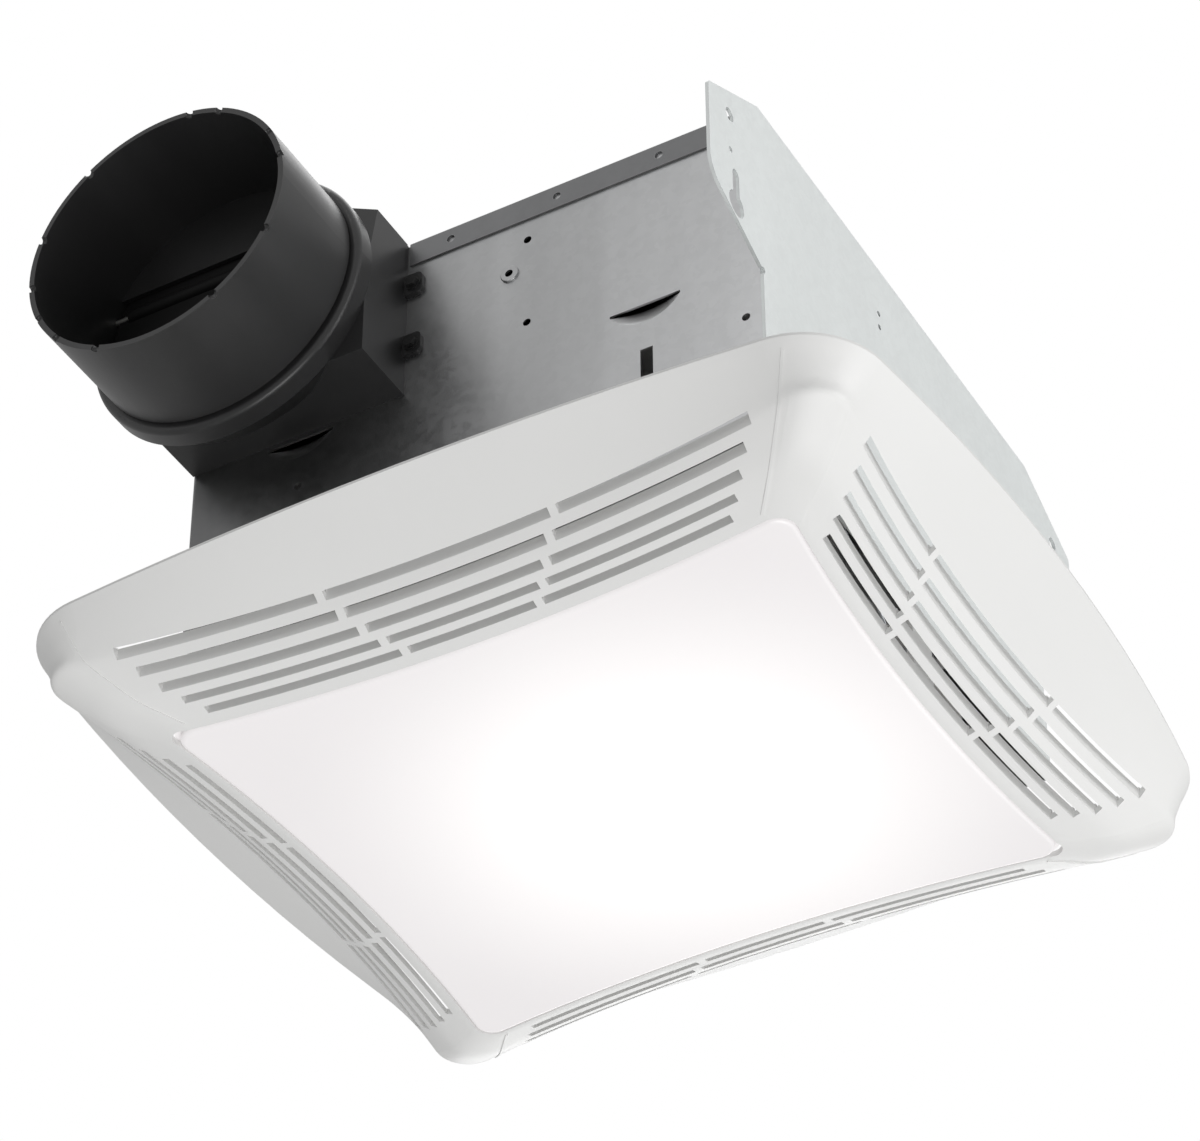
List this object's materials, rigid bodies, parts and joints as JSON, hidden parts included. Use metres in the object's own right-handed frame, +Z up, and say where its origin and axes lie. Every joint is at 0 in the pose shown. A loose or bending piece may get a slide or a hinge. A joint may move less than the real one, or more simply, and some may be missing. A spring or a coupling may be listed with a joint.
{
  "type": "ceiling exhaust fan",
  "caption": "Ceiling exhaust fan with a lamp: sheet housing with joist ears, round duct collar with a flap, blower, and a slotted pillow-shaped grille around a lens.",
  "frame": {"origin": "centre of the ceiling opening, in the plane of the ceiling", "axes": "+Z up into the ceiling, +X to the joist mounting plate, -Y along the duct"},
  "size_m": [0.3234, 0.3268, 0.1994],
  "materials": {
    "galvanised_sheet": "spangled mill finish",
    "plate_sheet": "pale satin",
    "black_plastic": "satin black",
    "white_plastic": "smooth white",
    "opal_plastic": "frosted opal",
    "dark_screw": "black oxide",
    "zinc_steel": "bright zinc",
    "spring_steel": "drawn wire",
    "wheel_plastic": "moulded",
    "shaft_steel": "ground",
    "rotor_metal": "cast",
    "lamination_steel": "blued sheets",
    "copper": "enamelled",
    "bobbin_plastic": "natural",
    "bridge_metal": "die cast",
    "bronze": "sintered",
    "white_enamel": "gloss white",
    "socket_body": "phenolic",
    "socket_brass": "stamped",
    "bulb_metal": "rolled",
    "frosted_glass": "frosted",
    "green_screw": "green",
    "receptacle_plastic": "moulded"
  },
  "bodies": {
    "housing": {"housing_wrap": "galvanised_sheet", "housing_top": "galvanised_sheet", "mounting_plate": "plate_sheet", "spring_bracket_left": "galvanised_sheet", "spring_bracket_right": "galvanised_sheet", "duct_connector": "black_plastic", "connector_screws": "dark_screw", "damper_pin": "zinc_steel", "blower_scroll": "galvanised_sheet", "blower_plate": "galvanised_sheet", "plate_screws": "zinc_steel", "motor_stator": "lamination_steel", "shading_rings": "copper", "motor_bobbin": "bobbin_plastic", "motor_coil": "copper", "upper_motor_bridge": "bridge_metal", "lower_motor_bridge": "bridge_metal", "upper_bearing": "bronze", "lower_bearing": "bronze", "stator_screws": "zinc_steel", "motor_spacers": "zinc_steel", "motor_bracket": "galvanised_sheet", "bracket_screws": "zinc_steel", "reflector_pan": "white_enamel", "reflector_studs": "zinc_steel", "reflector_nuts": "zinc_steel", "socket_bracket": "zinc_steel", "socket_screws": "zinc_steel", "lamp_socket": "socket_body", "socket_shell": "socket_brass", "bulb_base": "bulb_metal", "bulb_glass": "frosted_glass", "wiring_cover": "galvanised_sheet", "wiring_cover_screw": "zinc_steel", "ground_screw": "green_screw", "fan_receptacle": "receptacle_plastic", "lamp_receptacle": "receptacle_plastic"},
    "wheel": {"blower_wheel": "wheel_plastic", "wheel_clamp": "spring_steel", "motor_shaft": "shaft_steel", "motor_rotor": "rotor_metal"},
    "flap": {"damper_flap": "black_plastic"},
    "cover": {"grille": "white_plastic", "lens": "opal_plastic", "lens_clips": "spring_steel", "spring_coil_left": "spring_steel", "spring_coil_right": "spring_steel"},
    "arm_left_front": {"spring_arm_left_front": "spring_steel"},
    "arm_left_back": {"spring_arm_left_back": "spring_steel"},
    "arm_right_front": {"spring_arm_right_front": "spring_steel"},
    "arm_right_back": {"spring_arm_right_back": "spring_steel"}
  },
  "joints": [
    {"name": "wheel_spin", "type": "hinge", "parent": "housing", "child": "wheel", "pos_m": [0.01, 0.008, 0.1], "axis": [0, 0, 1], "continuous": true},
    {"name": "flap_swing", "type": "hinge", "parent": "housing", "child": "flap", "pos_m": [-0.0763, -0.135, 0.1265], "axis": [-1, 0, 0], "range_deg": [0, 75]},
    {"name": "cover_drop", "type": "slide", "parent": "housing", "child": "cover", "axis": [0, 0, -1], "range_m": [0, 0.08], "stiffness_N_per_m": 60, "springref_m": -0.25},
    {"name": "arm_left_front_fold", "type": "hinge", "parent": "cover", "child": "arm_left_front", "pos_m": [-0.1011, 0, -0.008], "axis": [-1, 0, 0], "range_deg": [0, 43]},
    {"name": "arm_left_back_fold", "type": "hinge", "parent": "cover", "child": "arm_left_back", "pos_m": [-0.1011, 0, -0.008], "axis": [1, 0, 0], "range_deg": [0, 43]},
    {"name": "arm_right_front_fold", "type": "hinge", "parent": "cover", "child": "arm_right_front", "pos_m": [0.1007, 0, -0.008], "axis": [-1, 0, 0], "range_deg": [0, 43]},
    {"name": "arm_right_back_fold", "type": "hinge", "parent": "cover", "child": "arm_right_back", "pos_m": [0.1007, 0, -0.008], "axis": [1, 0, 0], "range_deg": [0, 43]}
  ],
  "couplings": [
    {"joint": "arm_left_front_fold", "follows": "cover_drop", "rad_per_m": 9.16},
    {"joint": "arm_left_back_fold", "follows": "cover_drop", "rad_per_m": 9.16},
    {"joint": "arm_right_front_fold", "follows": "cover_drop", "rad_per_m": 9.16},
    {"joint": "arm_right_back_fold", "follows": "cover_drop", "rad_per_m": 9.16}
  ]
}
